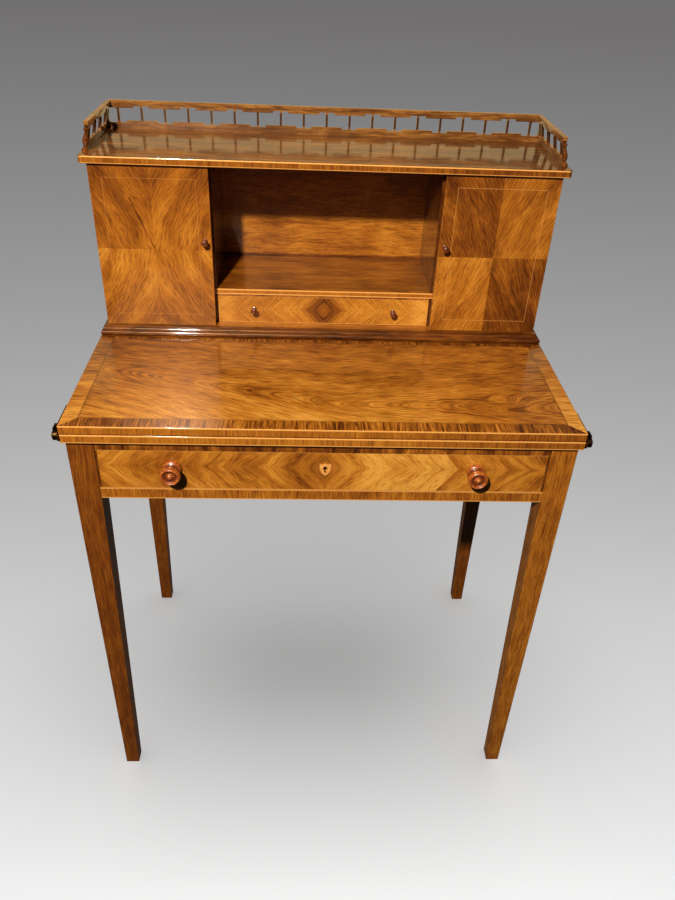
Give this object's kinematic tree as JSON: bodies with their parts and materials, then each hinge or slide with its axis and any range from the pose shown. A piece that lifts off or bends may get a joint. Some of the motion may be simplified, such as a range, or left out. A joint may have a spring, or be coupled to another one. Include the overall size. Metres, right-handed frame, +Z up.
{
  "type": "bonheur du jour",
  "caption": "Small veneered writing desk: tapered legs, frieze drawer, fold-over top and a cabinet with doors, open recess, small drawer and pierced gallery.",
  "frame": {"origin": "on the floor under the middle of the whole desk, knobs included", "axes": "+Z up, -Y towards the sitter, +X to the right as the sitter faces the desk"},
  "size_m": [0.7276, 0.475, 1.0691],
  "materials": {
    "figured_veneer": "french polished veneer",
    "polished_solid": "french polished solid wood",
    "secondary_wood": "waxed secondary wood",
    "turned_knob": "dark polished turned wood",
    "pale_inlay": "polished boxwood",
    "aged_brass": "darkened brass",
    "bolt_steel": "bright steel",
    "lining_leather": "tooled writing leather"
  },
  "bodies": {
    "carcase": {"leg_front_left": "polished_solid", "leg_front_right": "polished_solid", "leg_rear_left": "polished_solid", "leg_rear_right": "polished_solid", "side_rail_left": "figured_veneer", "side_rail_right": "figured_veneer", "back_rail": "secondary_wood", "front_rail": "figured_veneer", "drawer_runners": "secondary_wood", "drawer_stops": "secondary_wood", "table_top": "figured_veneer", "fixed_leather": "lining_leather", "leaf_hinge_straps": "aged_brass", "leaf_hinge_pins": "aged_brass", "leaf_hinge_screws_fixed": "aged_brass", "plinth_frame": "secondary_wood", "base_moulding_front": "polished_solid", "base_moulding_sides": "polished_solid", "cabinet_bottom": "secondary_wood", "cabinet_side_left": "figured_veneer", "cabinet_side_right": "figured_veneer", "partition_left": "figured_veneer", "partition_right": "figured_veneer", "cabinet_back": "figured_veneer", "cabinet_top": "figured_veneer", "centre_shelf": "figured_veneer", "gallery_fret_back": "polished_solid", "gallery_fret_left": "polished_solid", "gallery_fret_right": "polished_solid", "gallery_cap_rails": "polished_solid", "gallery_posts": "polished_solid", "door_hinge_leaves_fixed": "aged_brass", "door_hinge_pins": "aged_brass", "door_hinge_screws_fixed": "aged_brass", "door_catches": "aged_brass"},
    "writing_leaf": {"fold_leaf": "figured_veneer", "leaf_leather": "lining_leather", "leaf_hinge_arms": "aged_brass", "leaf_hinge_screws_moving": "aged_brass"},
    "frieze_drawer": {"drawer_front": "figured_veneer", "drawer_sides": "secondary_wood", "drawer_back": "secondary_wood", "drawer_bottom": "secondary_wood", "drawer_knobs": "turned_knob", "escutcheon": "pale_inlay", "lock_case": "aged_brass"},
    "drawer_bolt": {"lock_bolt": "bolt_steel"},
    "small_drawer": {"small_drawer_front": "figured_veneer", "small_drawer_sides": "secondary_wood", "small_drawer_back": "secondary_wood", "small_drawer_bottom": "secondary_wood", "small_drawer_knobs": "turned_knob"},
    "left_door": {"door_left": "figured_veneer", "door_knob_left": "turned_knob", "door_hinge_leaves_left": "aged_brass", "door_hinge_screws_left": "aged_brass"},
    "right_door": {"door_right": "figured_veneer", "door_knob_right": "turned_knob", "door_hinge_leaves_right": "aged_brass", "door_hinge_screws_right": "aged_brass"}
  },
  "joints": [
    {"name": "leaf_fold", "type": "hinge", "parent": "carcase", "child": "writing_leaf", "pos_m": [0, -0.21865, 0.73815], "axis": [1, 0, 0], "range_deg": [0, 180]},
    {"name": "frieze_drawer_slide", "type": "slide", "parent": "carcase", "child": "frieze_drawer", "axis": [0, -1, 0], "range_m": [0, 0.3]},
    {"name": "drawer_bolt_slide", "type": "slide", "parent": "frieze_drawer", "child": "drawer_bolt", "axis": [0, 0, -1], "range_m": [-0.007, 0]},
    {"name": "small_drawer_slide", "type": "slide", "parent": "carcase", "child": "small_drawer", "axis": [0, -1, 0], "range_m": [0, 0.1]},
    {"name": "left_door_swing", "type": "hinge", "parent": "carcase", "child": "left_door", "pos_m": [-0.3467, 0.07955, 0.89125], "axis": [0, 0, -1], "range_deg": [0, 170]},
    {"name": "right_door_swing", "type": "hinge", "parent": "carcase", "child": "right_door", "pos_m": [0.3467, 0.07955, 0.89125], "axis": [0, 0, 1], "range_deg": [0, 170]}
  ]
}
